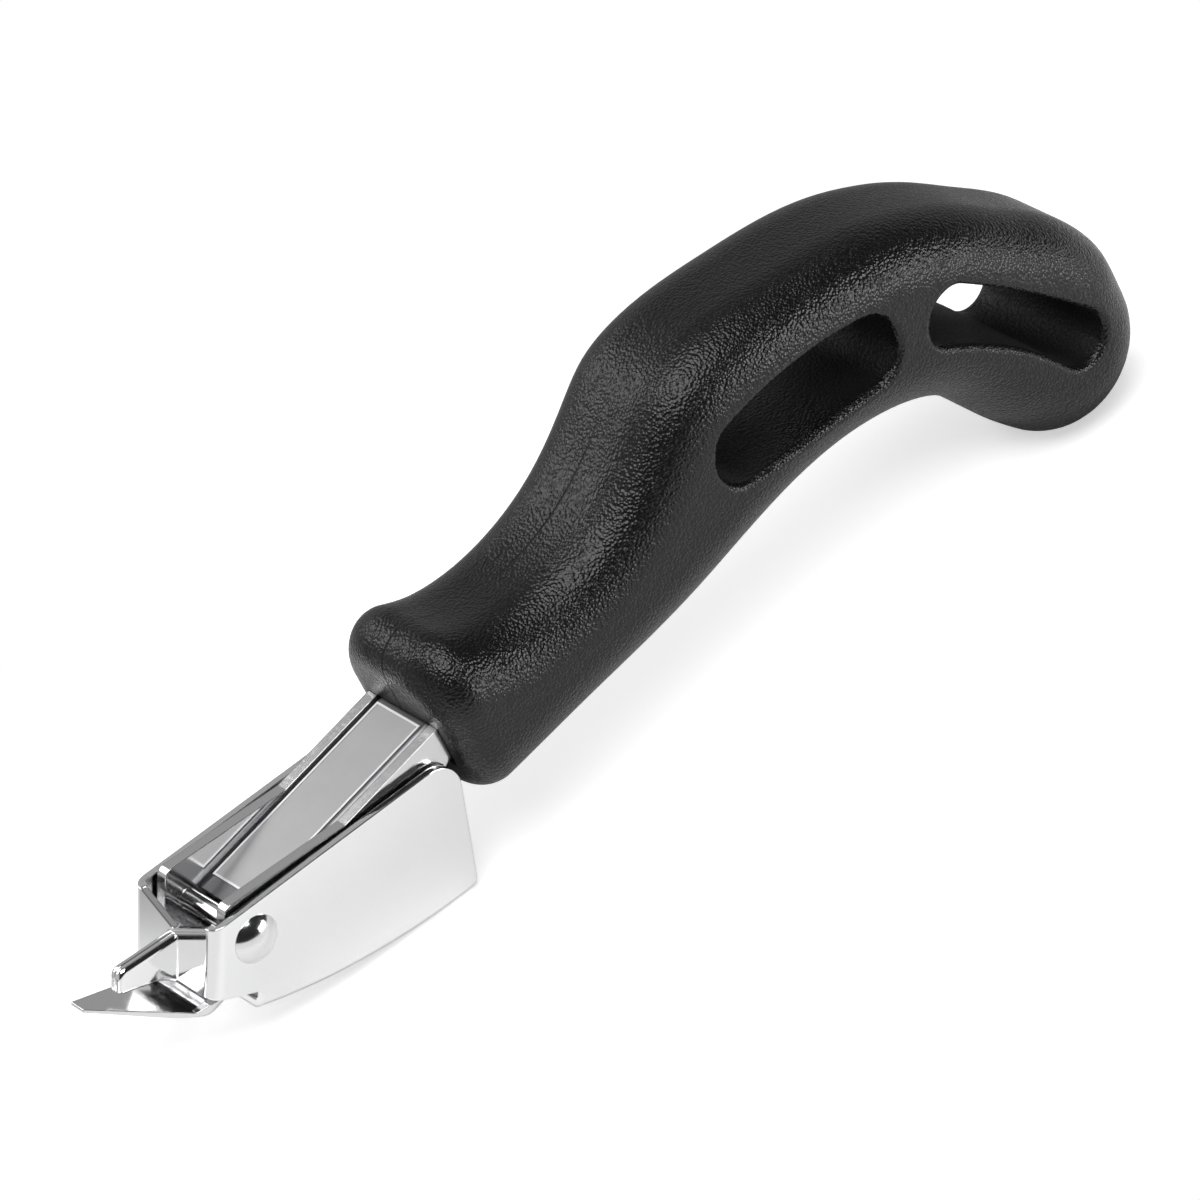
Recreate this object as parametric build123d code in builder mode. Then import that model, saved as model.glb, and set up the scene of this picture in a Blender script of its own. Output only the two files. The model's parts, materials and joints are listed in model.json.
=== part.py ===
from build123d import *
import os
from math import asin, atan2, cos, hypot, radians, sin, sqrt, tan

# Lever staple remover: a plastic grip on a folded steel shank whose heel runs forward
# into a thin lower blade, and a folded rocker jaw that turns on a rivet through the shank.
#
# Row frame: X runs from the blade tip (-X) to the grip (+X), Y across, Z up. The tool
# stands on the floor Z = 0 on the curved web of the rocker jaw and on the grip's tail.
# Every side outline is drawn in the jaw's own side view (u, v): u runs to the rear and
# v up along the folds of the jaw, from the centre of the rivet. Millimetres.

# ---- driving dimensions -------------------------------------------------------------
# rivet
RIVET_DIAMETER = 3.3
RIVET_HEAD_DIAMETER = 7.6
RIVET_HEAD_HEIGHT = 1.8
RIVET_RUNNING_FIT = 0.05          # radial, in the ears of the shank

# rocker jaw, one folded sheet
JAW_SHEET = 1.2
JAW_WIDTH = 19.6
JAW_FOLD_RADIUS = 2.05            # outer radius of every long fold
JAW_FRONT = 7.6                   # rivet to the outside of the front flanges
JAW_TOP_AT_FRONT = 3.0            # height of the side plates above the rivet, in front
JAW_TOP_SLOPE = 20.6              # degrees, top edge of the side plates
JAW_REAR = 40.5                   # rivet to the rear bottom corner
JAW_REAR_HEIGHT = -3.9
JAW_REAR_LEAN = 12.0              # degrees, rear edge forward of upright
JAW_REAR_CORNER = 4.5
JAW_HEEL_CORNER = 1.5
ROCKER_START = 1.3                # front end of the curved web
ROCKER_START_HEIGHT = -12.0
ROCKER_RADIUS = 110.0
PLATE_BOTTOM_FRONT = -7.9         # lower edge of the side plates ahead of the web
PLATE_BOTTOM_REAR = -8.7
NOTCH_DEPTH = 3.1                 # drop of the front flanges from side to crease
NOSE_REACH = 17.8                 # rivet to the end of the nose
NOSE_TOP = -0.7
NOSE_TOP_SLOPE = 17.0             # degrees, falling to the front
NOSE_BOTTOM = -7.1
NOSE_TOP_CORNER = 1.7
NOSE_BOTTOM_CORNER = 1.5
NOSE_CREASE_RADIUS = 2.8
NOSE_SEAM = 0.12                  # gap between the two halves of the nose
NOSE_EDGE_RADIUS = 0.8            # outer edges of the nose

# shank, one folded sheet
SHANK_SHEET = 1.9
SHANK_ANGLE = 33.2                # degrees, rise of the web in the jaw's side view
SHANK_HEIGHT = 7.9                # outside of the web to the top of the walls
SHANK_FOLD_RADIUS = 2.4
JAW_SIDE_GAP = 0.6                # between ear and side plate, each side
HEEL = (-6.0, -12.1)              # lowest corner of the shank, below the ears
HEEL_RADIUS = 3.0
EAR_FRONT = 4.4                   # rivet to the front edge of the ears
EAR_TOP = 5.3
EAR_CORNER = 1.6
EAR_BOTTOM = -8.6
KNEE = 32.6                       # along the shank from the heel, rear end of the ears
TANG_LENGTH = 26.0                # shank inside the grip
TANG_HOLE_DIAMETER = 4.6
TANG_HOLE_STATIONS = (7.0, 19.0)  # from the mouth of the grip

# lower blade, drawn forward from the heel of the shank
BLADE_TIP = 24.2                  # rivet to the cutting edge
BLADE_TIP_WIDTH = 3.0
BLADE_TIP_THICKNESS = 0.5
BLADE_TIP_HEIGHT = -7.95
BLADE_ROOT = 5.4                  # rivet to where the blade reaches the shank's width
TOE = (-8.4, -10.55)              # top of the blade below the nose

# liner, an inverted channel that closes the shank, with a thin name plate
LINER_SHEET = 1.0
LINER_SIDE_FIT = 0.05
LINER_DROP = 0.2                  # its top below the top of the walls
LINER_RIVET_GAP = 0.3
LINER_IN_GRIP = 3.5
LINER_FOLD_RADIUS = 1.2
NAME_PLATE_SHEET = 0.15
NAME_PLATE_RIM = 0.35
NAME_PLATE_RIM_HEIGHT = 0.1
NAME_PLATE_SIDE = 1.1             # margin to the walls of the shank
NAME_PLATE_FRONT = 2.6            # margin behind the front end of the liner
NAME_PLATE_REAR = 0.8             # margin ahead of the grip

# grip, two half mouldings
GRIP_THICKNESS = 28.0
GRIP_EDGE_RADIUS = 9.8
GRIP_MOUTH = (34.3, 21.2)         # a point on the front face
GRIP_MOUTH_LEAN = 29.4            # degrees, front face forward of upright
GRIP_LIP_RADIUS = 5.5
GRIP_POCKET_FIT = 0.12
GRIP_WALL = 4.0
GRIP_SKIN = 3.5
CAVITY_CROWN = 0.15               # share of the crown line where the cavity may start
CAVITY_UNDERSIDE = 0.7            # share of the underside where it may end
CAVITY_POINTS = 10
TAIL_CENTRE = (151.7, 53.7)
TAIL_RADIUS = 14.1
TAIL_TOP_ANGLE = 30.0             # where the round tail meets the crown, degrees
TAIL_BOTTOM_ANGLE = -116.0        # where it meets the underside
CROWN = [(10.0, 37.0), (18.0, 37.5), (27.0, 37.5), (34.2, 37.0), (40.0, 36.8),
         (47.5, 38.6), (55.1, 42.8), (62.1, 49.5), (67.2, 57.9), (71.6, 65.8), (78.4, 71.5),
         (94.5, 77.9), (112.0, 82.0), (121.3, 82.1), (130.9, 80.7), (141.2, 77.6),
         (150.6, 74.3), (157.6, 69.8)]
UNDERSIDE = [(139.1, 44.4), (128.9, 50.6), (117.2, 51.5), (108.9, 49.6), (100.4, 45.9),
             (79.5, 31.5), (59.8, 19.7), (40.3, 8.3), (26.0, 0.8), (14.0, -6.0)]
FRONT_SLOT = [(79.3, 48.0), (79.5, 59.0), (93.7, 67.3), (111.0, 71.7), (115.4, 61.5)]
FRONT_SLOT_CORNERS = (5.4, 4.0, 5.4, 5.0)
REAR_SLOT = [(119.4, 63.0), (120.5, 73.4), (139.6, 67.2), (155.9, 59.6), (152.9, 50.1),
             (137.1, 59.2)]
REAR_SLOT_CORNERS = (4.2, 4.8, 4.8, 4.2)
SLOT_RIM_RADIUS = 1.2
SLOT_WALL = 2.4
PEG_PLACES = ((71.5, 45.0), (117.6, 76.6), (146.8, 46.6))
PEG_DIAMETER = 4.0
PEG_LENGTH = 5.0
PEG_FIT = 0.05
PEG_END_GAP = 0.5
POST_WALL = 1.6
TANG_BOSS_DIAMETER = 4.4
TANG_BOSS_REACH = 1.0             # past the inside of the shank's wall

SAME_LENGTH = 1e-4                # closer lengths count as equal


# ---- the jaw's side view set into the row frame ---------------------------------------
def line_at(point, slope_degrees, u):
    """Height at u of a line through a point."""
    return point[1] + (u - point[0]) * tan(radians(slope_degrees))


def rocker_centre():
    """Centre of the rocker's curve, from the two ends of the web."""
    mid_u = (ROCKER_START + JAW_REAR) / 2
    mid_v = (ROCKER_START_HEIGHT + JAW_REAR_HEIGHT) / 2
    run_u = (JAW_REAR - ROCKER_START) / 2
    run_v = (JAW_REAR_HEIGHT - ROCKER_START_HEIGHT) / 2
    half = hypot(run_u, run_v)
    rise = sqrt(ROCKER_RADIUS**2 - half**2)
    return mid_u - rise * run_v / half, mid_v + rise * run_u / half


ROCKER_CENTRE = rocker_centre()


def standing_tilt():
    """Slope of the floor in the side view: it touches the rocker and the tail."""
    du, dv = TAIL_CENTRE[0] - ROCKER_CENTRE[0], TAIL_CENTRE[1] - ROCKER_CENTRE[1]
    return asin((ROCKER_RADIUS - TAIL_RADIUS) / hypot(du, dv)) + atan2(dv, du)


TILT = standing_tilt()
CT, ST = cos(TILT), sin(TILT)
RIVET_Z = ROCKER_RADIUS + ROCKER_CENTRE[0] * ST - ROCKER_CENTRE[1] * CT
TIP_X = -BLADE_TIP * CT + BLADE_TIP_HEIGHT * ST
TAIL_X = TAIL_CENTRE[0] * CT + TAIL_CENTRE[1] * ST + TAIL_RADIUS
RIVET_X = -(TIP_X + TAIL_X) / 2


def place(u, v, y=0.0):
    """A point of the side view in the row frame."""
    return (RIVET_X + u * CT + v * ST, y, RIVET_Z - u * ST + v * CT)


SIDE = Plane(origin=place(0, 0), x_dir=(CT, 0, -ST), z_dir=(0, -1, 0))
DECK = Plane(origin=place(0, 0), x_dir=(CT, 0, -ST), z_dir=(ST, 0, CT))
FACE = Plane(origin=place(0, 0), x_dir=(0, -1, 0), z_dir=(-CT, 0, ST))
MIDDLE = Plane.XZ

SHANK_COS, SHANK_SIN = cos(radians(SHANK_ANGLE)), sin(radians(SHANK_ANGLE))
MOUTH_TAN = tan(radians(GRIP_MOUTH_LEAN))
JAW_INNER = JAW_WIDTH - 2 * JAW_SHEET
SHANK_WIDTH = JAW_INNER - 2 * JAW_SIDE_GAP
SHANK_INNER = SHANK_WIDTH - 2 * SHANK_SHEET


def along(s, h):
    """Side-view point s along the shank from the heel and h above its web."""
    return HEEL[0] + s * SHANK_COS - h * SHANK_SIN, HEEL[1] + s * SHANK_SIN + h * SHANK_COS


def mouth_u(v):
    """The grip's front face in the side view."""
    return GRIP_MOUTH[0] - (v - GRIP_MOUTH[1]) * MOUTH_TAN


def mouth_station(h):
    """Where a line at height h along the shank crosses the grip's front face."""
    u, v = along(0, h)
    return (mouth_u(v) - u) / (SHANK_COS + SHANK_SIN * MOUTH_TAN)


RIVET_STATION = -HEEL[0] * SHANK_COS - HEEL[1] * SHANK_SIN
TANG_END = mouth_station(0) + TANG_LENGTH
TANG_HOLES = [along(mouth_station(0) + station, SHANK_HEIGHT / 2) for station in TANG_HOLE_STATIONS]


def circular(edges, radius):
    """The edges of one arc radius."""
    return edges.filter_by(lambda e: e.geom_type == GeomType.CIRCLE and abs(e.radius - radius) < SAME_LENGTH)


# ---- rivet ------------------------------------------------------------------------------
with BuildPart() as pivot_rivet:
    with BuildSketch(SIDE):
        Circle(RIVET_DIAMETER / 2)
    extrude(amount=JAW_WIDTH / 2, both=True)
    head_radius = RIVET_HEAD_DIAMETER / 2
    dome_radius = (head_radius**2 + RIVET_HEAD_HEIGHT**2) / (2 * RIVET_HEAD_HEIGHT)
    seat = JAW_WIDTH / 2
    with BuildSketch(DECK):
        with BuildLine():
            Polyline((0, seat + RIVET_HEAD_HEIGHT), (0, seat), (head_radius, seat))
            RadiusArc((head_radius, seat), (0, seat + RIVET_HEAD_HEIGHT), -dome_radius)
        make_face()
    revolve(axis=Axis(place(0, 0), (0, 1, 0)))
    mirror(about=MIDDLE)
pivot_rivet.part.label = "pivot_rivet"


# ---- rocker jaw ---------------------------------------------------------------------------
def jaw_top(u):
    return line_at((-JAW_FRONT, JAW_TOP_AT_FRONT), JAW_TOP_SLOPE, u)


def jaw_rear_top():
    """Corner where the sloping top edge meets the leaning rear edge."""
    lean = tan(radians(JAW_REAR_LEAN))
    slope = tan(radians(JAW_TOP_SLOPE))
    run = JAW_REAR + JAW_FRONT + (JAW_REAR_HEIGHT - JAW_TOP_AT_FRONT) * lean
    rise = slope * run / (1 + slope * lean)
    top = JAW_TOP_AT_FRONT + rise
    return JAW_REAR - (top - JAW_REAR_HEIGHT) * lean, top


def rocker_arc(radius, spare=0.0):
    """Start, middle and end of the web's curve at a radius, a spare length past both ends."""
    cu, cv = ROCKER_CENTRE
    start = atan2(ROCKER_START_HEIGHT - cv, ROCKER_START - cu) - spare / radius
    end = atan2(JAW_REAR_HEIGHT - cv, JAW_REAR - cu) + spare / radius
    return [(cu + radius * cos(a), cv + radius * sin(a)) for a in (start, (start + end) / 2, end)]


with BuildPart() as rocker_jaw:
    # rear stretch: a trough with a curved web
    web = rocker_arc(ROCKER_RADIUS)
    with BuildSketch(SIDE) as trough:
        with BuildLine():
            Polyline(web[0], (web[0][0], jaw_top(web[0][0])), jaw_rear_top(), web[2])
            ThreePointArc(*web)
        make_face()
    extrude(amount=JAW_WIDTH / 2, both=True)
    fillet(circular(rocker_jaw.edges(), ROCKER_RADIUS), JAW_FOLD_RADIUS)
    with BuildSketch(SIDE) as trimmed:
        add(trough.sketch_local)
        fillet(trimmed.vertices().sort_by(Axis.Y)[-1], JAW_REAR_CORNER)
        fillet(trimmed.vertices().sort_by(Axis.X)[-1], JAW_HEEL_CORNER)
    extrude(amount=JAW_WIDTH, both=True, mode=Mode.INTERSECT)
    web = rocker_arc(ROCKER_RADIUS - JAW_SHEET, JAW_WIDTH)
    with BuildSketch(SIDE):
        with BuildLine():
            Polyline(web[0], (web[0][0], 2 * JAW_REAR), (web[2][0], 2 * JAW_REAR), web[2])
            ThreePointArc(*web)
        make_face()
    extrude(amount=JAW_INNER / 2, both=True, mode=Mode.SUBTRACT)
    fillet(circular(rocker_jaw.edges(), ROCKER_RADIUS - JAW_SHEET), JAW_FOLD_RADIUS - JAW_SHEET)

with BuildPart() as jaw_front:
    # front stretch, drawn in plan: side plate, front flange and half of the nose
    half_nose = NOSE_SEAM / 2 + JAW_SHEET
    with BuildSketch(DECK) as plan:
        with BuildLine():
            Polyline((ROCKER_START, JAW_WIDTH / 2), (-JAW_FRONT, JAW_WIDTH / 2), (-JAW_FRONT, half_nose),
                     (-NOSE_REACH, half_nose), (-NOSE_REACH, NOSE_SEAM / 2),
                     (-JAW_FRONT + JAW_SHEET, NOSE_SEAM / 2), (-JAW_FRONT + JAW_SHEET, JAW_INNER / 2),
                     (ROCKER_START, JAW_INNER / 2), close=True)
        make_face()
        corners = plan.vertices()
        for corner, radius in (((-JAW_FRONT, JAW_WIDTH / 2), JAW_FOLD_RADIUS),
                               ((-JAW_FRONT + JAW_SHEET, JAW_INNER / 2), JAW_FOLD_RADIUS - JAW_SHEET),
                               ((-JAW_FRONT, half_nose), NOSE_CREASE_RADIUS),
                               ((-JAW_FRONT + JAW_SHEET, NOSE_SEAM / 2), NOSE_CREASE_RADIUS + JAW_SHEET)):
            fillet(corners.sort_by_distance(corner)[0], radius)
    extrude(amount=JAW_REAR, both=True)
    mirror(about=MIDDLE)
    with BuildSketch(SIDE) as outline:
        with BuildLine():
            nose_end_top = line_at((-JAW_FRONT, NOSE_TOP), NOSE_TOP_SLOPE, -NOSE_REACH)
            Polyline((ROCKER_START, PLATE_BOTTOM_REAR), (-JAW_FRONT, PLATE_BOTTOM_FRONT),
                     (-JAW_FRONT - NOSE_CREASE_RADIUS, NOSE_BOTTOM), (-NOSE_REACH, NOSE_BOTTOM),
                     (-NOSE_REACH, nose_end_top), (-JAW_FRONT, NOSE_TOP), (-JAW_FRONT, JAW_TOP_AT_FRONT),
                     (ROCKER_START, jaw_top(ROCKER_START)), close=True)
        make_face()
        corners = outline.vertices()
        fillet(corners.sort_by_distance((-NOSE_REACH, nose_end_top))[0], NOSE_TOP_CORNER)
        fillet(corners.sort_by_distance((-NOSE_REACH, NOSE_BOTTOM))[0], NOSE_BOTTOM_CORNER)
    extrude(amount=JAW_WIDTH, both=True, mode=Mode.INTERSECT)
    with BuildSketch(FACE.offset(JAW_FRONT - JAW_SHEET)):
        flank = JAW_WIDTH / 2 - JAW_FOLD_RADIUS
        Polygon((-flank, JAW_TOP_AT_FRONT), (0, JAW_TOP_AT_FRONT - NOTCH_DEPTH), (flank, JAW_TOP_AT_FRONT),
                (flank, JAW_REAR), (-flank, JAW_REAR), align=None)
    extrude(amount=NOSE_REACH, mode=Mode.SUBTRACT)
    nose_ends = circular(jaw_front.edges(), NOSE_TOP_CORNER).filter_by(
        lambda edge: abs(abs(edge.center().Y) - half_nose) < SAME_LENGTH)
    fillet(nose_ends, NOSE_EDGE_RADIUS)

with rocker_jaw:
    add(jaw_front.part)
    with BuildSketch(SIDE):
        Circle(RIVET_DIAMETER / 2)
    extrude(amount=JAW_WIDTH, both=True, mode=Mode.SUBTRACT)
rocker_jaw.part.label = "rocker_jaw"


# ---- shank ---------------------------------------------------------------------------------
with BuildPart() as shank_channel:
    # folded bottom first, then the side outline cut out of it
    low, high = -2 * JAW_REAR, 2 * JAW_REAR
    with BuildSketch(SIDE) as bottom_line:
        with BuildLine():
            Polyline((-BLADE_TIP, high), (-BLADE_TIP, BLADE_TIP_HEIGHT), HEEL, along(TANG_END, 0),
                     along(TANG_END, high), close=True)
        make_face()
        fillet(bottom_line.vertices().sort_by_distance(HEEL)[0], HEEL_RADIUS)
    extrude(amount=SHANK_WIDTH / 2, both=True)
    fillet(circular(shank_channel.edges(), HEEL_RADIUS), SHANK_FOLD_RADIUS)
    with BuildSketch(SIDE) as top_line:
        with BuildLine():
            Polyline((-BLADE_TIP, low), (-BLADE_TIP, BLADE_TIP_HEIGHT + BLADE_TIP_THICKNESS), TOE,
                     (-EAR_FRONT, EAR_BOTTOM), (-EAR_FRONT, EAR_TOP), along(KNEE, SHANK_HEIGHT),
                     along(2 * TANG_END, SHANK_HEIGHT), along(2 * TANG_END, low), close=True)
        make_face()
        corners = top_line.vertices()
        for corner in ((-EAR_FRONT, EAR_TOP), (-EAR_FRONT, EAR_BOTTOM)):
            fillet(corners.sort_by_distance(corner)[0], EAR_CORNER)
    extrude(amount=SHANK_WIDTH, both=True, mode=Mode.INTERSECT)
    with BuildSketch(SIDE) as hollow:
        with BuildLine():
            Polyline(along(TANG_END + SHANK_WIDTH, SHANK_SHEET), along(0, SHANK_SHEET), TOE,
                     (TOE[0], JAW_REAR), along(TANG_END + SHANK_WIDTH, JAW_REAR), close=True)
        make_face()
        fillet(hollow.vertices().sort_by_distance(along(0, SHANK_SHEET))[0], HEEL_RADIUS - SHANK_SHEET)
    extrude(amount=SHANK_INNER / 2, both=True, mode=Mode.SUBTRACT)
    with BuildSketch(DECK):
        with BuildLine():
            half_root, half_tip = SHANK_WIDTH / 2, BLADE_TIP_WIDTH / 2
            Polyline((-BLADE_TIP, half_tip), (-BLADE_ROOT, half_root), (-RIVET_X, half_root),
                     (-RIVET_X, -half_root), (-BLADE_ROOT, -half_root), (-BLADE_TIP, -half_tip), close=True)
        make_face()
    extrude(amount=-RIVET_X, both=True, mode=Mode.INTERSECT)
    with BuildSketch(SIDE):
        Circle(RIVET_DIAMETER / 2 + RIVET_RUNNING_FIT)
        with Locations(*TANG_HOLES):
            Circle(TANG_HOLE_DIAMETER / 2)
    extrude(amount=SHANK_WIDTH, both=True, mode=Mode.SUBTRACT)
shank_channel.part.label = "shank_channel"


# ---- liner and name plate --------------------------------------------------------------------
LINER_TOP = SHANK_HEIGHT - LINER_DROP
LINER_START = RIVET_STATION + RIVET_DIAMETER / 2 + LINER_RIVET_GAP
LINER_END = mouth_station(LINER_TOP) + LINER_IN_GRIP


with BuildPart() as shank_liner:
    with BuildSketch(SIDE):
        with BuildLine():
            Polyline(along(LINER_START, SHANK_SHEET), along(LINER_END, SHANK_SHEET),
                     along(LINER_END, LINER_TOP), along(LINER_START, LINER_TOP), close=True)
        make_face()
    extrude(amount=SHANK_INNER / 2 - LINER_SIDE_FIT, both=True)
    crest = Vector(*place(*along(LINER_END, LINER_TOP))) - Vector(*place(*along(LINER_START, LINER_TOP)))
    long_edges = shank_liner.edges().filter_by(Axis((0, 0, 0), tuple(crest)))
    fillet(long_edges.sort_by_distance(place(*along(LINER_START, 2 * LINER_TOP)))[:2], LINER_FOLD_RADIUS)
    with BuildSketch(SIDE):
        with BuildLine():
            Polyline(along(0, 0), along(TANG_END, 0), along(TANG_END, LINER_TOP - LINER_SHEET),
                     along(0, LINER_TOP - LINER_SHEET), close=True)
        make_face()
    extrude(amount=SHANK_INNER / 2 - LINER_SIDE_FIT - LINER_SHEET, both=True, mode=Mode.SUBTRACT)
shank_liner.part.label = "shank_liner"


with BuildPart() as name_plate:
    plate_start = LINER_START + NAME_PLATE_FRONT
    plate_end = mouth_station(LINER_TOP) - NAME_PLATE_REAR
    label_deck = Plane(origin=place(*along(plate_start, LINER_TOP)),
                       x_dir=Vector(*place(SHANK_COS, SHANK_SIN)) - Vector(*place(0, 0)),
                       z_dir=Vector(*place(-SHANK_SIN, SHANK_COS)) - Vector(*place(0, 0)))
    length = plate_end - plate_start
    width = SHANK_INNER - 2 * NAME_PLATE_SIDE
    with BuildSketch(label_deck):
        with Locations((length / 2, 0)):
            Rectangle(length, width)
    extrude(amount=NAME_PLATE_SHEET + NAME_PLATE_RIM_HEIGHT)
    with BuildSketch(label_deck.offset(NAME_PLATE_SHEET)):
        with Locations((length / 2, 0)):
            Rectangle(length - 2 * NAME_PLATE_RIM, width - 2 * NAME_PLATE_RIM)
    extrude(amount=NAME_PLATE_RIM_HEIGHT, mode=Mode.SUBTRACT)
name_plate.part.label = "name_plate"


# ---- grip ------------------------------------------------------------------------------------
HALF = GRIP_THICKNESS / 2
POCKET_HALF = SHANK_WIDTH / 2 + GRIP_POCKET_FIT
POST_RADIUS = PEG_DIAMETER / 2 + PEG_FIT + POST_WALL


def tail_point(angle):
    """A point of the round tail."""
    turn = radians(angle)
    return TAIL_CENTRE[0] + TAIL_RADIUS * cos(turn), TAIL_CENTRE[1] + TAIL_RADIUS * sin(turn)


def tail_heading(angle):
    """Clockwise direction of travel on the round tail."""
    turn = radians(angle)
    return sin(turn), -cos(turn)


with BuildSketch(SIDE) as grip_side:
    # drawn past the front face, which is cut afterwards
    with BuildLine():
        top, bottom = tail_point(TAIL_TOP_ANGLE), tail_point(TAIL_BOTTOM_ANGLE)
        front_heading = (UNDERSIDE[-1][0] - UNDERSIDE[-2][0], UNDERSIDE[-1][1] - UNDERSIDE[-2][1])
        crown = Spline(*CROWN, top, tangents=((1, 0), tail_heading(TAIL_TOP_ANGLE)))
        tail = ThreePointArc(top, tail_point((TAIL_TOP_ANGLE + TAIL_BOTTOM_ANGLE) / 2), bottom)
        underside = Spline(bottom, *UNDERSIDE, tangents=(tail_heading(TAIL_BOTTOM_ANGLE), front_heading))
        Line(UNDERSIDE[-1], CROWN[0])
    make_face()

with BuildSketch(SIDE) as front_slot:
    with BuildLine():
        ThreePointArc(*FRONT_SLOT[1:4])
        Polyline(FRONT_SLOT[3], FRONT_SLOT[4], FRONT_SLOT[0], FRONT_SLOT[1])
    make_face()
    for spot, radius in zip((FRONT_SLOT[:2] + FRONT_SLOT[3:]), FRONT_SLOT_CORNERS):
        fillet(front_slot.vertices().sort_by_distance(spot)[0], radius)

with BuildSketch(SIDE) as rear_slot:
    with BuildLine():
        ThreePointArc(*REAR_SLOT[1:4])
        Line(REAR_SLOT[3], REAR_SLOT[4])
        ThreePointArc(REAR_SLOT[4], REAR_SLOT[5], REAR_SLOT[0])
        Line(REAR_SLOT[0], REAR_SLOT[1])
    make_face()
    for spot, radius in zip((REAR_SLOT[:2] + REAR_SLOT[3:5]), REAR_SLOT_CORNERS):
        fillet(rear_slot.vertices().sort_by_distance(spot)[0], radius)


def inset(line, start, end):
    """Points a wall inside a stretch of the outline."""
    shares = [start + (end - start) * i / CAVITY_POINTS for i in range(CAVITY_POINTS + 1)]
    return [tuple(line @ t + (line % t).rotate(Axis.Z, -90) * GRIP_WALL)[:2] for t in shares]


with BuildSketch(SIDE) as cavity:
    # behind the tang and ahead of the solid tail, around the slots and the posts
    inner_crown, inner_tail = inset(crown, CAVITY_CROWN, 1), inset(tail, 0, 1)
    inner_under = inset(underside, 0, CAVITY_UNDERSIDE)
    with BuildLine():
        Spline(*inner_crown)
        ThreePointArc(inner_tail[0], inner_tail[len(inner_tail) // 2], inner_tail[-1])
        Spline(*inner_under)
        Line(inner_under[-1], inner_crown[0])
    make_face()
    for slot in (front_slot, rear_slot):
        add(offset(slot.sketch_local, amount=SLOT_WALL, mode=Mode.PRIVATE), mode=Mode.SUBTRACT)
    with Locations(*PEG_PLACES):
        Circle(POST_RADIUS, mode=Mode.SUBTRACT)
    with Locations(TAIL_CENTRE):
        Circle(TAIL_RADIUS, mode=Mode.SUBTRACT)
    with BuildLine():
        tang_back = TANG_END + GRIP_WALL
        Polyline(along(tang_back, -JAW_REAR), along(tang_back, 2 * JAW_REAR),
                 along(-JAW_REAR, 2 * JAW_REAR), along(-JAW_REAR, -JAW_REAR), close=True)
    make_face(mode=Mode.SUBTRACT)

MOUTH_NORMAL = tuple(Vector(*place(-1, -MOUTH_TAN)) - Vector(*place(0, 0)))


def in_slot(edge):
    """Rim edges of the slots on the outer side of a half."""
    if edge.center().Y < HALF / 2:
        return False
    spot = SIDE.to_local_coords(edge.center())
    inside = [abs(spot.X - s.sketch_local.center().X) < s.sketch_local.bounding_box().size.X / 2
              and abs(spot.Y - s.sketch_local.center().Y) < s.sketch_local.bounding_box().size.Y / 2
              for s in (front_slot, rear_slot)]
    return any(inside)


with BuildPart() as half_shell:
    # the left half (+Y), without its pegs
    extrude(grip_side.sketch, amount=-HALF)
    round_side = half_shell.edges().group_by(Axis.Y)[-1].filter_by(GeomType.LINE, reverse=True)
    fillet(round_side, GRIP_EDGE_RADIUS)
    with BuildSketch(SIDE):
        with BuildLine():
            low, high, ahead = -2 * JAW_REAR, 2 * TAIL_CENTRE[1], -TAIL_CENTRE[0]
            Polyline((mouth_u(low), low), (mouth_u(high), high), (ahead, high), (ahead, low), close=True)
        make_face()
    extrude(amount=GRIP_THICKNESS, both=True, mode=Mode.SUBTRACT)
    front_face = half_shell.faces().filter_by(Plane(origin=place(*GRIP_MOUTH), z_dir=MOUTH_NORMAL))
    lip = front_face.edges().filter_by(lambda e: abs(e.center().Y) > PEG_FIT)
    fillet(lip, GRIP_LIP_RADIUS)
    extrude(front_slot.sketch, amount=-GRIP_THICKNESS, mode=Mode.SUBTRACT)
    extrude(rear_slot.sketch, amount=-GRIP_THICKNESS, mode=Mode.SUBTRACT)
    rims = half_shell.edges().filter_by(Axis.Y, reverse=True).filter_by(in_slot)
    fillet(rims, SLOT_RIM_RADIUS)
    extrude(cavity.sketch, amount=-(HALF - GRIP_SKIN), mode=Mode.SUBTRACT)
    with BuildSketch(SIDE):
        with BuildLine():
            Polyline(along(0, -GRIP_POCKET_FIT), along(TANG_END + GRIP_POCKET_FIT, -GRIP_POCKET_FIT),
                     along(TANG_END + GRIP_POCKET_FIT, SHANK_HEIGHT + GRIP_POCKET_FIT),
                     along(0, SHANK_HEIGHT + GRIP_POCKET_FIT), close=True)
        make_face()
    extrude(amount=-POCKET_HALF, mode=Mode.SUBTRACT)
    with BuildSketch(SIDE.offset(-(POCKET_HALF + GRIP_POCKET_FIT))):
        with Locations(*TANG_HOLES):
            Circle(TANG_BOSS_DIAMETER / 2)
    extrude(amount=POCKET_HALF + GRIP_POCKET_FIT - SHANK_INNER / 2 + TANG_BOSS_REACH)

with BuildPart() as handle_left:
    add(half_shell.part)
    with BuildSketch(SIDE):
        with Locations(*PEG_PLACES):
            Circle(PEG_DIAMETER / 2)
    extrude(amount=PEG_LENGTH, both=True)
handle_left.part.label = "handle_left"

with BuildPart() as handle_right:
    mirror(half_shell.part, about=MIDDLE)
    with BuildSketch(SIDE):
        with Locations(*PEG_PLACES):
            Circle(PEG_DIAMETER / 2 + PEG_FIT)
    extrude(amount=PEG_LENGTH + PEG_END_GAP, mode=Mode.SUBTRACT)
handle_right.part.label = "handle_right"


# ---- one STEP file a piece ---------------------------------------------------------------------
os.makedirs("parts", exist_ok=True)
for piece in (pivot_rivet, rocker_jaw, shank_channel, shank_liner, name_plate, handle_left, handle_right):
    export_step(piece.part, f"parts/{piece.part.label}.step")
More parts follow.
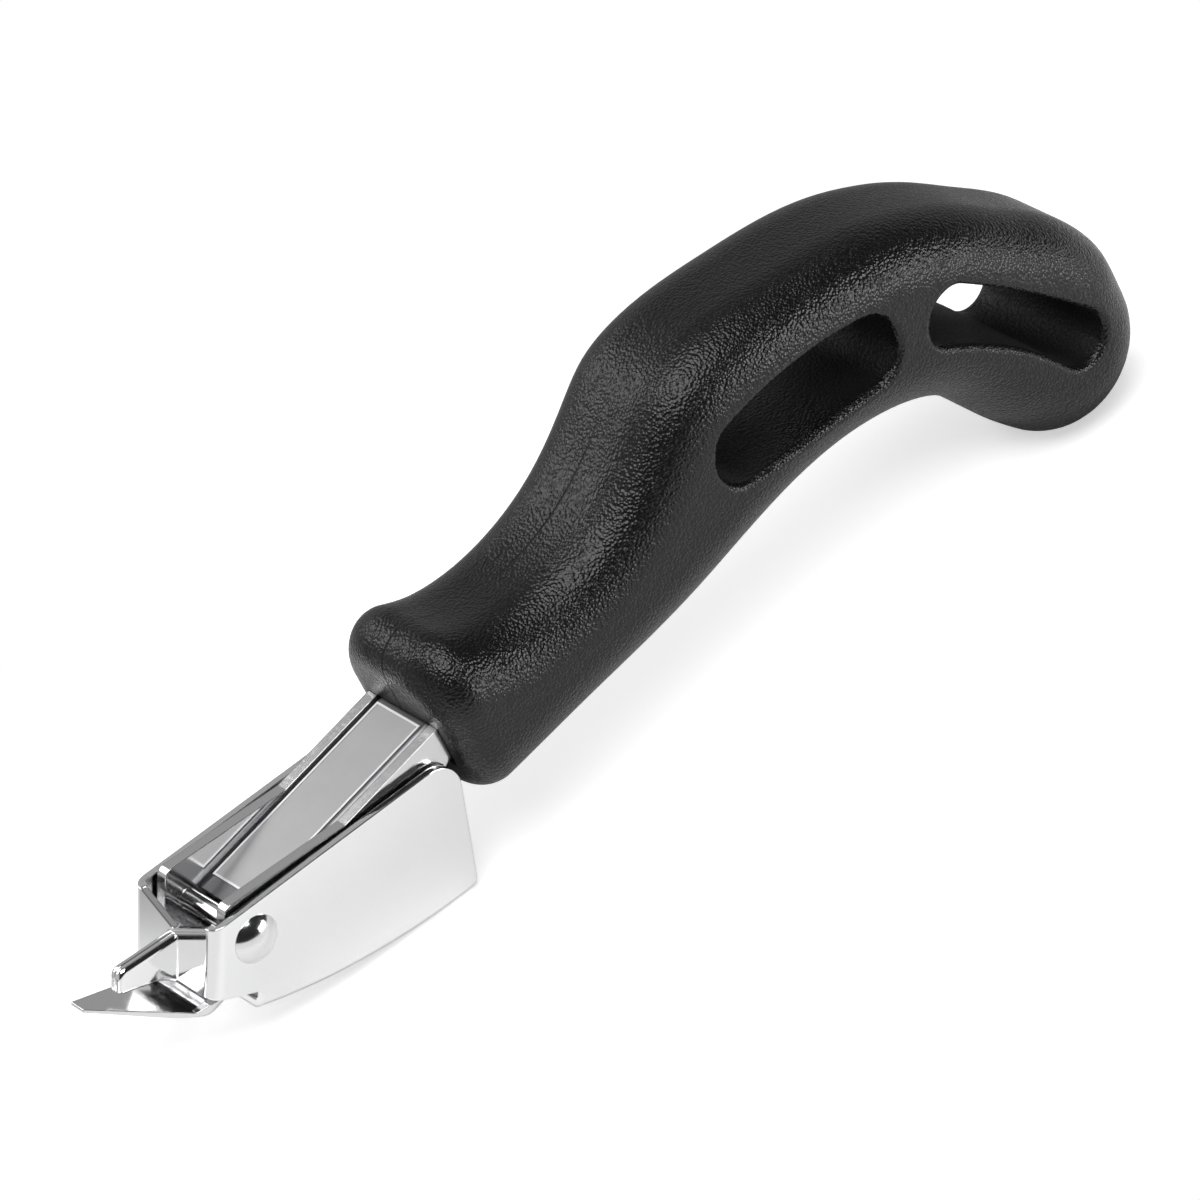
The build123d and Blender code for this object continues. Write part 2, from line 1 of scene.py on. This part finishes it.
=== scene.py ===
# %% [markdown]
# This lesson dresses a staple remover: a black moulded grip with two through
# slots, a plated steel shank that ends in a thin blade, and a rocker jaw with a
# blunt nose that swings on a rivet. The working shapes are already solids, so
# the lesson starts by loading them, and every number below is in metres in the
# same frame as those solids.

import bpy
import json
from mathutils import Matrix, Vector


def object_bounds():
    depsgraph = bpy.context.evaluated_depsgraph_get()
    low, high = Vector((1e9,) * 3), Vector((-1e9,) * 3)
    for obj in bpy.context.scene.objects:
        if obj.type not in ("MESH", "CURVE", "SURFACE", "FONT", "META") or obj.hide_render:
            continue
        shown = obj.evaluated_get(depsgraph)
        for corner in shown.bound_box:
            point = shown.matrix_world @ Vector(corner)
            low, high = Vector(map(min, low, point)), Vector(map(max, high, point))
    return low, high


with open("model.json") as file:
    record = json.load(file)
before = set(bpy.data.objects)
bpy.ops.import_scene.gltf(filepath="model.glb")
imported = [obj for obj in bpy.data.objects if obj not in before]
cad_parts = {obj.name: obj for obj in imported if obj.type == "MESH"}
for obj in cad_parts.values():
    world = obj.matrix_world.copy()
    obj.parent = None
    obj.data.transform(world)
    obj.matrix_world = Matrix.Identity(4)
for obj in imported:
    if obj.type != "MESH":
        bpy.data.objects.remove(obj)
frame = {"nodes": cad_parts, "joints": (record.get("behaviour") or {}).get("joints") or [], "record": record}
solid_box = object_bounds()
print("solids:", sorted(frame["nodes"]))

# %% [markdown]
# Small sizes are easier to read in millimetres, so they are written as a number
# times `MM`.

# %% Modules and a unit
import json
import math
import bpy
import numpy as np
from mathutils import Matrix, Vector

MM = 0.001
scene = bpy.context.scene
print("working in metres, one millimetre is", MM)

# %% [markdown]
# The tool was drawn along its jaw: `u` runs back from the rivet, `v` runs up
# from it, and `w` comes out of the right side. On the bench the tool leans, so
# this cell turns that drawing frame into the frame of the scene. The rivet is
# the joint of the jaw. The record also names a spot on the flat side of the
# grip, drawn 62 mm behind the rivet and 35 mm above it, and the direction from
# one to the other gives the lean.

# %% The drawing frame of the shank
SPOT_BEHIND = 62.0 * MM
SPOT_ABOVE = 35.0 * MM

RIVET = np.array(frame["joints"][0]["pos_m"])
SIDE_SPOT = np.array(frame["record"]["mounts"][0]["pos_m"])
run, _, rise = SIDE_SPOT - RIVET
LEAN = math.atan2(SPOT_ABOVE, SPOT_BEHIND) - math.atan2(rise, run)
ALONG = np.array([math.cos(LEAN), 0.0, -math.sin(LEAN)])
ACROSS = np.array([math.sin(LEAN), 0.0, math.cos(LEAN)])
RIGHT = np.array([0.0, -1.0, 0.0])


def in_scene(u, w, v):
    """Direction in the scene of one given in the drawing frame."""
    return u * ALONG + w * RIGHT + v * ACROSS


print("rivet at", RIVET, "leaning", round(math.degrees(LEAN), 2), "degrees")

# %% [markdown]
# The camera looks at the right-hand side of the tool, from the front and above.
# A long lens keeps the perspective weak, as a product camera does. Its place is
# found by starting at the rivet and stepping back along the line of sight, and
# then to the right and up, because the rivet sits low on the left of the view.

# %% The camera
VIEW_TURN = math.radians(40.0)
VIEW_RISE = math.radians(24.8)
VIEW_ROLL = math.radians(2.0)
LENS = 240.0
SENSOR = 36.0
STEP_BACK = 1142.857 * MM
RIVET_LEFT = 54.964 * MM
RIVET_DOWN = 44.780 * MM

back = in_scene(-math.cos(VIEW_RISE) * math.sin(VIEW_TURN),
                math.cos(VIEW_RISE) * math.cos(VIEW_TURN),
                math.sin(VIEW_RISE))
level = in_scene(math.cos(VIEW_TURN), math.sin(VIEW_TURN), 0.0)
upright = np.cross(back, level)
right = math.cos(VIEW_ROLL) * level + math.sin(VIEW_ROLL) * upright
up = math.cos(VIEW_ROLL) * upright - math.sin(VIEW_ROLL) * level
eye = RIVET + STEP_BACK * back + RIVET_LEFT * right + RIVET_DOWN * up

camera_data = bpy.data.cameras.new("product_camera")
camera_data.lens = LENS
camera_data.sensor_width = SENSOR
camera = bpy.data.objects.new("product_camera", camera_data)
axes = np.eye(4)
axes[:3] = np.column_stack((right, up, back, eye))
camera.matrix_world = Matrix(axes.tolist())
scene.collection.objects.link(camera)
scene.camera = camera
print("camera at", np.round(eye, 3))

# %% [markdown]
# Materials are small programs made of nodes. Two helpers keep them readable.
# `Wire` wraps one socket, and sums written with it add Math nodes. `Finish`
# starts a material and makes any other node from its type, its settings and
# the values or links of its sockets.

# %% Helpers for shader maths


class Wire:
    """One socket of a node tree; arithmetic on it adds Math nodes."""

    def __init__(self, tree, socket):
        self.tree = tree
        self.socket = socket

    def math(self, operation, *values):
        node = self.tree.nodes.new("ShaderNodeMath")
        node.operation = operation
        for slot, value in zip(node.inputs, values):
            plug(self.tree, value, slot)
        return Wire(self.tree, node.outputs[0])

    def __add__(self, other):
        return self.math("ADD", self, other)

    def __radd__(self, other):
        return self.math("ADD", other, self)

    def __sub__(self, other):
        return self.math("SUBTRACT", self, other)

    def __rsub__(self, other):
        return self.math("SUBTRACT", other, self)

    def __mul__(self, other):
        return self.math("MULTIPLY", self, other)

    def __rmul__(self, other):
        return self.math("MULTIPLY", other, self)

    def __abs__(self):
        return self.math("ABSOLUTE", self)


def plug(tree, value, slot):
    """A wire is linked to the socket, and anything else is set on it."""
    if isinstance(value, Wire):
        tree.links.new(value.socket, slot)
    else:
        slot.default_value = value


class Finish:
    """A node tree in the making, of a material or of the world."""

    def __init__(self, owner):
        owner.use_nodes = True
        self.tree = owner.node_tree
        self.tree.nodes.clear()

    def node(self, kind, settings=None, inputs=None, out=0):
        """A new node's output as a wire, or nothing where `out` is None."""
        made = self.tree.nodes.new("ShaderNode" + kind)
        for name, value in (settings or {}).items():
            setattr(made, name, value)
        for name, value in (inputs or {}).items():
            plug(self.tree, value, made.inputs[name])
        if out is None:
            return None
        return Wire(self.tree, made.outputs[out])


print("helpers ready")

# %% [markdown]
# A few nodes come up in every finish: an easy step between two levels, the
# place of a point, a soft random field, and a blend of two colours. Each gets a
# short name here.

# %% More shader helpers


def smooth_step(finish, value, low, high):
    """Nought below low, one above high, and an easy curve between them."""
    return finish.node("MapRange", {"interpolation_type": "SMOOTHSTEP"},
                       {"Value": value, "From Min": low, "From Max": high})


def place_in(finish):
    """Where a point of the surface is, in metres."""
    return finish.node("TexCoord", out="Object")


def noise(finish, where, scale, detail=2.0, roughness=0.5, out=0):
    """A soft random field with lumps about 1/scale metres across."""
    return finish.node("TexNoise", {}, {"Vector": where, "Scale": scale,
                                        "Detail": detail, "Roughness": roughness}, out)


def blend_colours(finish, share, first, second):
    """From the first colour to the second as the share goes from nought to one."""
    return finish.node("Mix", {"data_type": "RGBA"},
                       {0: share, 6: first, 7: second}, out=2)


def grey(level):
    """A grey of the given linear level, opaque."""
    return (level, level, level, 1.0)


def surface(finish, sockets):
    """The main shader of the finish, joined to the output."""
    shader = finish.node("BsdfPrincipled", {}, sockets)
    finish.node("OutputMaterial", {}, {"Surface": shader}, out=None)


print("greys are linear, so 0.2 shows as a middle grey")

# %% [markdown]
# The grip is a moulded plastic, near black, with the fine leather grain that
# is etched into the mould. Small rounded cells about half a millimetre across
# stand up by less than a tenth of a millimetre, so light catches their tops.
# The tops are also rubbed smoother than the valleys between them, and their colour is painted a little
# paler, as painted sheen.
# The faces deep inside the slots, which nothing rubs, are the roughest, and their colour is painted darkest
# there as painted shade, where other faces shut out the room. The two halves meet in a hair line, which
# shows along the top of the neck and down the front of the collar, and has been rubbed away further back.

# %% Grip finish
CELLS_PER_METRE = 2100.0
CELL_BLUR = 0.30
CELL_SWAY = 0.25 * MM
GRAIN_HEIGHT = 0.13 * MM
FINE_SHARE = 0.15
SEAM_HEIGHT = -2.4
SEAM_SURE = 0.06 * MM
SEAM_GONE = 0.20 * MM
SEAM_FADES_FROM = -4.0 * MM
SEAM_FADES_TO = 14.0 * MM
SLOT_REACH = 16.0 * MM
DARKEST_PLASTIC = grey(0.0012)
PALEST_PLASTIC = grey(0.006)
PLASTIC_ROUGHNESS = 0.28
RUBBED_OFF = 0.14
MATT_ADDS = 0.50
PLASTIC_IOR = 1.45


def seam_line(finish, where):
    """One on the hair line between the halves, nought off it and far back."""
    across = finish.node("SeparateXYZ", {}, {0: where}, out="Y")
    along = finish.node("SeparateXYZ", {}, {0: where}, out="X")
    on_line = 1.0 - smooth_step(finish, abs(across), SEAM_SURE, SEAM_GONE)
    in_front = 1.0 - smooth_step(finish, along, SEAM_FADES_FROM, SEAM_FADES_TO)
    return on_line * in_front


def occlusion_painted_shade(finish):
    """One where other faces close by shut out most of the room, nought in the open, used as painted shade.
    """
    lit = finish.node("AmbientOcclusion", {"samples": 8, "only_local": False},
                      {"Distance": SLOT_REACH}, out="AO")
    return 1.0 - smooth_step(finish, lit, 0.35, 0.85)


def moulded_grain():
    """Grain height is one minus the distance to the nearest cell's middle, plus fine noise."""
    material = bpy.data.materials.new("moulded_grip")
    finish = Finish(material)
    where = place_in(finish)
    sway = noise(finish, where, 700.0, out="Color")
    swayed = finish.node("VectorMath", {"operation": "MULTIPLY_ADD"},
                         {0: sway, 1: (CELL_SWAY, CELL_SWAY, CELL_SWAY), 2: where})
    cells = finish.node("TexVoronoi", {"feature": "SMOOTH_F1"},
                        {"Vector": swayed, "Scale": CELLS_PER_METRE,
                         "Smoothness": CELL_BLUR})
    domes = 1.0 - cells
    fine = noise(finish, where, 4800.0)
    broad = noise(finish, where, 60.0, detail=3.0)
    tops = smooth_step(finish, domes, 0.45, 0.80)
    line = seam_line(finish, where)
    # Occlusion darkens the colour in the slots as painted shade, and the seam line darkens it as a dark
    # joint; both also raise the roughness.
    seam_and_painted_shade = finish.node("Math", {"operation": "MAXIMUM"},
                       {0: occlusion_painted_shade(finish), 1: line})
    # The grain tops are painted paler as painted sheen, and the broad noise adds random tone.
    painted_sheen_and_tone = (0.6 * tops + 0.4 * broad) * (1.0 - seam_and_painted_shade)
    relief = finish.node("Bump", {}, {
        "Height": domes + FINE_SHARE * fine + SEAM_HEIGHT * line,
        "Strength": 1.0, "Distance": GRAIN_HEIGHT})
    surface(finish, {
        "Base Color": blend_colours(finish, painted_sheen_and_tone, DARKEST_PLASTIC, PALEST_PLASTIC),
        "Roughness": PLASTIC_ROUGHNESS - RUBBED_OFF * tops + 0.04 * broad + MATT_ADDS * seam_and_painted_shade,
        "Normal": relief,
        "IOR": PLASTIC_IOR})
    return material


GRIP = moulded_grain()
print("finish:", GRIP.name)

# %% [markdown]
# The shank and the jaw are nickel plated. A plated sheet is a mirror with faint
# rubbing marks that change its roughness and dull it a little. Sheet metal is
# never knife sharp: its cut edges are tumbled before plating, so a Bevel node
# turns the surface direction within a fraction of a millimetre of each edge,
# and the edge catches a thin line of light.

# %% Plated finishes
BLUE_CAST = 0.005
DULLED = 0.93
RUB_STRETCH = (1.0, 1.0, 7.0)
RUB_DEPTH = 0.0004 * MM


def plated(name, level, smoothest, roughest, edge):
    """Mirror metal: roughness rises in the rubs, and `edge` is the edge radius."""
    material = bpy.data.materials.new(name)
    finish = Finish(material)
    where = place_in(finish)
    stretched = finish.node("Mapping", {}, {"Vector": where, "Scale": RUB_STRETCH})
    rubs = noise(finish, stretched, 900.0, detail=4.0, roughness=0.65)
    marks = smooth_step(finish, rubs, 0.52, 0.74)
    haze = noise(finish, where, 120.0, detail=3.0)
    clean = (level, level, level + BLUE_CAST, 1.0)
    dull = tuple(DULLED * part for part in clean[:3]) + (1.0,)
    rounded = finish.node("Bevel", {"samples": 8}, {"Radius": edge})
    relief = finish.node("Bump", {}, {"Height": rubs, "Strength": 0.5,
                                      "Distance": RUB_DEPTH, "Normal": rounded})
    surface(finish, {
        "Base Color": blend_colours(finish, 0.5 * haze + 0.5 * marks, clean, dull),
        "Metallic": 1.0,
        "Roughness": smoothest + (roughest - smoothest) * marks + 0.03 * haze,
        "Normal": relief})
    return material


PLATE = plated("plated_steel", 0.90, 0.05, 0.13, edge=0.40 * MM)
SHANK = plated("shank_steel", 0.74, 0.12, 0.24, edge=0.22 * MM)
RIVET_METAL = plated("rivet_steel", 0.80, 0.12, 0.22, edge=0.12 * MM)
LINER = plated("liner_steel", 0.17, 0.30, 0.42, edge=0.15 * MM)
print("finishes:", PLATE.name, SHANK.name, RIVET_METAL.name, LINER.name)

# %% [markdown]
# The plate in the shank's channel is a bare strip of foil with a satin face.
# Its brushed lines run along the strip. A thin raised rim runs round the face
# and is coloured paler than it, so this cell first finds which way the face
# looks and how high the top of the rim is.

# %% Foil finish
RIM_STARTS = 0.07 * MM
RIM_SURE = 0.03 * MM
STROKE_DEPTH = 0.004 * MM


def rim_of(mesh):
    """Direction of the mesh's widest face, turned upwards, and the mesh's reach along it."""
    widest = max(mesh.polygons, key=lambda face: face.area).normal
    outward = np.array(widest) * math.copysign(1.0, widest.z)
    corners = np.empty(3 * len(mesh.vertices))
    mesh.vertices.foreach_get("co", corners)
    return outward, float((corners.reshape(-1, 3) @ outward).max())


def foil():
    """Satin metal with grey strokes along the strip, and a pale rim at its highest."""
    outward, rim_top = rim_of(frame["nodes"]["name_plate"].data)
    material = bpy.data.materials.new("satin_foil")
    finish = Finish(material)
    where = place_in(finish)
    height = finish.node("VectorMath", {"operation": "DOT_PRODUCT"},
                         {0: where, 1: tuple(outward)}, out="Value")
    rim = smooth_step(finish, height, rim_top - RIM_STARTS, rim_top - RIM_SURE)
    turned = finish.node("Mapping", {}, {"Vector": where, "Rotation": (0.0, -LEAN, 0.0)})
    drawn_out = finish.node("Mapping", {}, {"Vector": turned, "Scale": (0.03, 1.0, 1.0)})
    strokes = noise(finish, drawn_out, 9000.0, detail=3.0, roughness=0.6)
    cloud = noise(finish, turned, 220.0, detail=3.0)
    satin = blend_colours(finish, 0.6 * strokes + 0.4 * cloud, grey(0.36), grey(0.50))
    relief = finish.node("Bump", {}, {"Height": strokes, "Strength": 0.6,
                                      "Distance": STROKE_DEPTH})
    surface(finish, {
        "Base Color": blend_colours(finish, rim, satin, grey(0.85)),
        "Metallic": 0.75,
        "Roughness": 0.34 + 0.12 * strokes,
        "Normal": relief})
    return material


FOIL = foil()
print("finish:", FOIL.name)

# %% [markdown]
# The solids already carry the true directions of their curved faces, so each
# one takes its finish as it is.

# %% Finishes on the solids
WEARS = {"handle_left": GRIP, "handle_right": GRIP, "name_plate": FOIL,
         "rocker_jaw": PLATE, "shank_channel": SHANK, "shank_liner": LINER,
         "pivot_rivet": RIVET_METAL}

for node, material in WEARS.items():
    mesh = frame["nodes"][node].data
    mesh.materials.clear()
    mesh.materials.append(material)
print("dressed", len(WEARS), "solids")

# %% [markdown]
# Mirror metal shows the room around it, so the room is part of the finish. The
# studio is dark, apart from a pale wall behind the tool and a brighter one past
# its blade, and the dark between them draws the folds of the metal. The camera
# itself sees the room as plain white.

# %% The room
DARK_ROOM = 0.02
WALL_BEHIND = 0.36
WALL_PAST_BLADE = 0.50


def toward(finish, heading, x, y, z, low, high):
    """One where a direction points the given way, nought where it turns off it."""
    aim = Vector((x, y, z)).normalized()
    match = finish.node("VectorMath", {"operation": "DOT_PRODUCT"},
                        {0: heading, 1: tuple(aim)}, out="Value")
    return smooth_step(finish, match, low, high)


def white_to_camera(seen, level):
    """A level of light for all rays but the camera's, which get one."""
    return seen + (1.0 - seen) * level


def room():
    """The studio all round, as the world of the scene."""
    world = bpy.data.worlds.new("grey_studio")
    scene.world = world
    finish = Finish(world)
    heading = finish.node("TexCoord", out="Generated")
    behind = toward(finish, heading, 0.45, 0.88, 0.10, 0.2, 0.8)
    past_blade = toward(finish, heading, -0.93, 0.30, 0.20, 0.6, 0.95)
    glow = DARK_ROOM + WALL_BEHIND * behind + WALL_PAST_BLADE * past_blade
    seen = finish.node("LightPath", out="Is Camera Ray")
    light = finish.node("Background", {}, {"Color": grey(1.0),
                                           "Strength": white_to_camera(seen, glow)})
    finish.node("OutputWorld", {}, {"Surface": light}, out=None)


room()
print("room ready")

# %% [markdown]
# The tool lies on a white table. Near the tool the table is paper that takes
# its shadow. A little further off it gives light of its own and fades into the
# white of the room, so no horizon shows. What the metal mirrors of that far part
# is dimmer, and dimmer still behind the tool.

# %% The table
HALF_TABLE = 3.0
PAPER = grey(0.93)
PAPER_GLOW = 0.50
PAPER_ENDS = 0.05
WHITE_STARTS = 0.10
MIRRORED_FRONT = 0.86
MIRRORED_LOSS = 0.50


def table():
    """A flat sheet under the tool, paper white near it and glowing white further off."""
    corners = [(x * HALF_TABLE, y * HALF_TABLE, 0.0)
               for x, y in ((-1, -1), (1, -1), (1, 1), (-1, 1))]
    mesh = bpy.data.meshes.new("studio_table")
    mesh.from_pydata(corners, [], [(0, 1, 2, 3)])
    slab = bpy.data.objects.new("studio_table", mesh)
    scene.collection.objects.link(slab)

    material = bpy.data.materials.new("studio_table")
    finish = Finish(material)
    where = place_in(finish)
    squeezed = finish.node("Mapping", {}, {"Vector": where, "Scale": (0.5, 1.0, 1.0)})
    away = finish.node("VectorMath", {"operation": "LENGTH"}, {0: squeezed}, out="Value")
    back_there = finish.node("SeparateXYZ", {}, {0: where}, out="Y")
    seen = finish.node("LightPath", out="Is Camera Ray")
    far = smooth_step(finish, away, PAPER_ENDS, WHITE_STARTS)
    mirrored = MIRRORED_FRONT - MIRRORED_LOSS * smooth_step(finish, back_there, 0.02, 0.10)
    near_glow = (1.0 - far) * seen * PAPER_GLOW
    paper = finish.node("BsdfDiffuse", {}, {
        "Color": blend_colours(finish, far, PAPER, grey(0.0))})
    glow = finish.node("Emission", {}, {
        "Color": grey(1.0),
        "Strength": far * white_to_camera(seen, mirrored) + near_glow})
    both = finish.node("AddShader", {}, {0: paper, 1: glow})
    finish.node("OutputMaterial", {}, {"Surface": both}, out=None)
    mesh.materials.append(material)


table()
print("table ready")

# %% [markdown]
# Three soft boxes light the tool from the same distance: a wide one overhead,
# a smaller one high up behind it, and a low strip on its right side.

# %% Lamps
LAMP_DISTANCE = 0.8


def soft_box(name, aim, width, height, watts):
    """A soft light aimed at the middle of the tool from the direction given."""
    aim = Vector(aim).normalized()
    data = bpy.data.lights.new(name, "AREA")
    data.shape = "RECTANGLE"
    data.size = width
    data.size_y = height
    data.energy = watts
    lamp = bpy.data.objects.new(name, data)
    centre = (solid_box[0] + solid_box[1]) / 2
    lamp.location = centre + aim * LAMP_DISTANCE
    lamp.rotation_euler = (-aim).to_track_quat("-Z", "Y").to_euler()
    scene.collection.objects.link(lamp)


soft_box("overhead_light", (-0.15, -0.30, 0.93), width=0.6, height=0.6, watts=5.5)
soft_box("rear_light", (-0.35, 0.70, 0.62), width=0.5, height=0.4, watts=2.0)
soft_box("strip_light", (0.64, -0.76, 0.14), width=0.5, height=0.2, watts=2.7)
print("lamps ready")

# %% [markdown]
# The standard view shows each level of light as it is, and the box round the bare
# solids is printed.

# %% Colour and sizes
scene.view_settings.view_transform = "Standard"
print("solids ", [round(float(v), 5) for c in solid_box for v in c])
